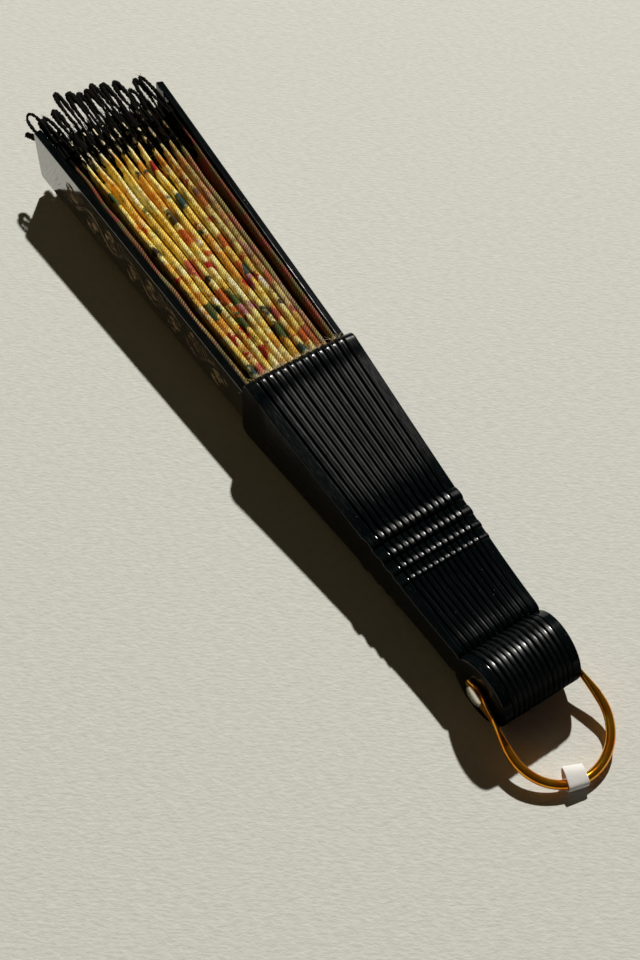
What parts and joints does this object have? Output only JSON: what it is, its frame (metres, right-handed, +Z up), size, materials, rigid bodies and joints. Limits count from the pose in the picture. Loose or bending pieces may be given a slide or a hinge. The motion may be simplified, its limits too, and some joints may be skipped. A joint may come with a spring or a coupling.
{
  "type": "folding fan",
  "caption": "Closed folding hand fan: beaded moulded sticks on one rivet, pleated printed cloth leaf, lace edging with picot loops and a swinging wire bail.",
  "frame": {"origin": "middle of the bounding box's base, on the surface that the closed fan lies on", "axes": "+X from the rivet towards the tip, +Y along the rivet towards the left guard, +Z up"},
  "size_m": [0.26, 0.0454, 0.0245],
  "materials": {
    "stick_plastic": "polished black moulding",
    "leaf_cotton": "printed plain weave, yellow, cream and orange with coloured patches",
    "lace_thread": "fuzzy black thread",
    "rivet_metal": "pale plated, polished",
    "bail_wire": "gold plated, polished",
    "band_plastic": "matt white"
  },
  "bodies": {
    "left_guard": {"left_guard": "stick_plastic", "rivet_pin": "rivet_metal", "rivet_cap": "rivet_metal", "leaf_pleat_01": "leaf_cotton", "lace_edge_01": "lace_thread"},
    "stick_01": {"stick_01": "stick_plastic", "leaf_pleat_02": "leaf_cotton", "lace_edge_02": "lace_thread"},
    "stick_02": {"stick_02": "stick_plastic", "leaf_pleat_03": "leaf_cotton", "lace_edge_03": "lace_thread"},
    "stick_03": {"stick_03": "stick_plastic", "leaf_pleat_04": "leaf_cotton", "lace_edge_04": "lace_thread"},
    "stick_04": {"stick_04": "stick_plastic", "leaf_pleat_05": "leaf_cotton", "lace_edge_05": "lace_thread"},
    "stick_05": {"stick_05": "stick_plastic", "leaf_pleat_06": "leaf_cotton", "lace_edge_06": "lace_thread"},
    "stick_06": {"stick_06": "stick_plastic", "leaf_pleat_07": "leaf_cotton", "lace_edge_07": "lace_thread"},
    "stick_07": {"stick_07": "stick_plastic", "leaf_pleat_08": "leaf_cotton", "lace_edge_08": "lace_thread"},
    "stick_08": {"stick_08": "stick_plastic", "leaf_pleat_09": "leaf_cotton", "lace_edge_09": "lace_thread"},
    "stick_09": {"stick_09": "stick_plastic", "leaf_pleat_10": "leaf_cotton", "lace_edge_10": "lace_thread"},
    "stick_10": {"stick_10": "stick_plastic", "leaf_pleat_11": "leaf_cotton", "lace_edge_11": "lace_thread"},
    "stick_11": {"stick_11": "stick_plastic", "leaf_pleat_12": "leaf_cotton", "lace_edge_12": "lace_thread"},
    "stick_12": {"stick_12": "stick_plastic", "leaf_pleat_13": "leaf_cotton", "lace_edge_13": "lace_thread"},
    "right_guard": {"right_guard": "stick_plastic"},
    "bail": {"bail": "bail_wire", "bail_band": "band_plastic"}
  },
  "joints": [
    {"name": "open_01", "type": "hinge", "parent": "left_guard", "child": "stick_01", "pos_m": [-0.09784, 0, 0.01], "axis": [0, -1, 0], "range_deg": [0, 10], "deforming": ["leaf_pleat_01", "lace_edge_01"]},
    {"name": "open_02", "type": "hinge", "parent": "stick_01", "child": "stick_02", "pos_m": [-0.09784, 0, 0.01], "axis": [0, -1, 0], "range_deg": [0, 10], "deforming": ["leaf_pleat_02", "lace_edge_02"]},
    {"name": "open_03", "type": "hinge", "parent": "stick_02", "child": "stick_03", "pos_m": [-0.09784, 0, 0.01], "axis": [0, -1, 0], "range_deg": [0, 10], "deforming": ["leaf_pleat_03", "lace_edge_03"]},
    {"name": "open_04", "type": "hinge", "parent": "stick_03", "child": "stick_04", "pos_m": [-0.09784, 0, 0.01], "axis": [0, -1, 0], "range_deg": [0, 10], "deforming": ["leaf_pleat_04", "lace_edge_04"]},
    {"name": "open_05", "type": "hinge", "parent": "stick_04", "child": "stick_05", "pos_m": [-0.09784, 0, 0.01], "axis": [0, -1, 0], "range_deg": [0, 10], "deforming": ["leaf_pleat_05", "lace_edge_05"]},
    {"name": "open_06", "type": "hinge", "parent": "stick_05", "child": "stick_06", "pos_m": [-0.09784, 0, 0.01], "axis": [0, -1, 0], "range_deg": [0, 10], "deforming": ["leaf_pleat_06", "lace_edge_06"]},
    {"name": "open_07", "type": "hinge", "parent": "stick_06", "child": "stick_07", "pos_m": [-0.09784, 0, 0.01], "axis": [0, -1, 0], "range_deg": [0, 10], "deforming": ["leaf_pleat_07", "lace_edge_07"]},
    {"name": "open_08", "type": "hinge", "parent": "stick_07", "child": "stick_08", "pos_m": [-0.09784, 0, 0.01], "axis": [0, -1, 0], "range_deg": [0, 10], "deforming": ["leaf_pleat_08", "lace_edge_08"]},
    {"name": "open_09", "type": "hinge", "parent": "stick_08", "child": "stick_09", "pos_m": [-0.09784, 0, 0.01], "axis": [0, -1, 0], "range_deg": [0, 10], "deforming": ["leaf_pleat_09", "lace_edge_09"]},
    {"name": "open_10", "type": "hinge", "parent": "stick_09", "child": "stick_10", "pos_m": [-0.09784, 0, 0.01], "axis": [0, -1, 0], "range_deg": [0, 10], "deforming": ["leaf_pleat_10", "lace_edge_10"]},
    {"name": "open_11", "type": "hinge", "parent": "stick_10", "child": "stick_11", "pos_m": [-0.09784, 0, 0.01], "axis": [0, -1, 0], "range_deg": [0, 10], "deforming": ["leaf_pleat_11", "lace_edge_11"]},
    {"name": "open_12", "type": "hinge", "parent": "stick_11", "child": "stick_12", "pos_m": [-0.09784, 0, 0.01], "axis": [0, -1, 0], "range_deg": [0, 10], "deforming": ["leaf_pleat_12", "lace_edge_12"]},
    {"name": "open_13", "type": "hinge", "parent": "stick_12", "child": "right_guard", "pos_m": [-0.09784, 0, 0.01], "axis": [0, -1, 0], "range_deg": [0, 10], "deforming": ["leaf_pleat_13", "lace_edge_13"]},
    {"name": "bail_swing", "type": "hinge", "parent": "left_guard", "child": "bail", "pos_m": [-0.09784, 0, 0.01], "axis": [0, -1, 0], "range_deg": [-30, 132]}
  ],
  "couplings": [
    {"joint": "open_02", "follows": "open_01", "ratio": 1},
    {"joint": "open_03", "follows": "open_01", "ratio": 1},
    {"joint": "open_04", "follows": "open_01", "ratio": 1},
    {"joint": "open_05", "follows": "open_01", "ratio": 1},
    {"joint": "open_06", "follows": "open_01", "ratio": 1},
    {"joint": "open_07", "follows": "open_01", "ratio": 1},
    {"joint": "open_08", "follows": "open_01", "ratio": 1},
    {"joint": "open_09", "follows": "open_01", "ratio": 1},
    {"joint": "open_10", "follows": "open_01", "ratio": 1},
    {"joint": "open_11", "follows": "open_01", "ratio": 1},
    {"joint": "open_12", "follows": "open_01", "ratio": 1},
    {"joint": "open_13", "follows": "open_01", "ratio": 1}
  ]
}
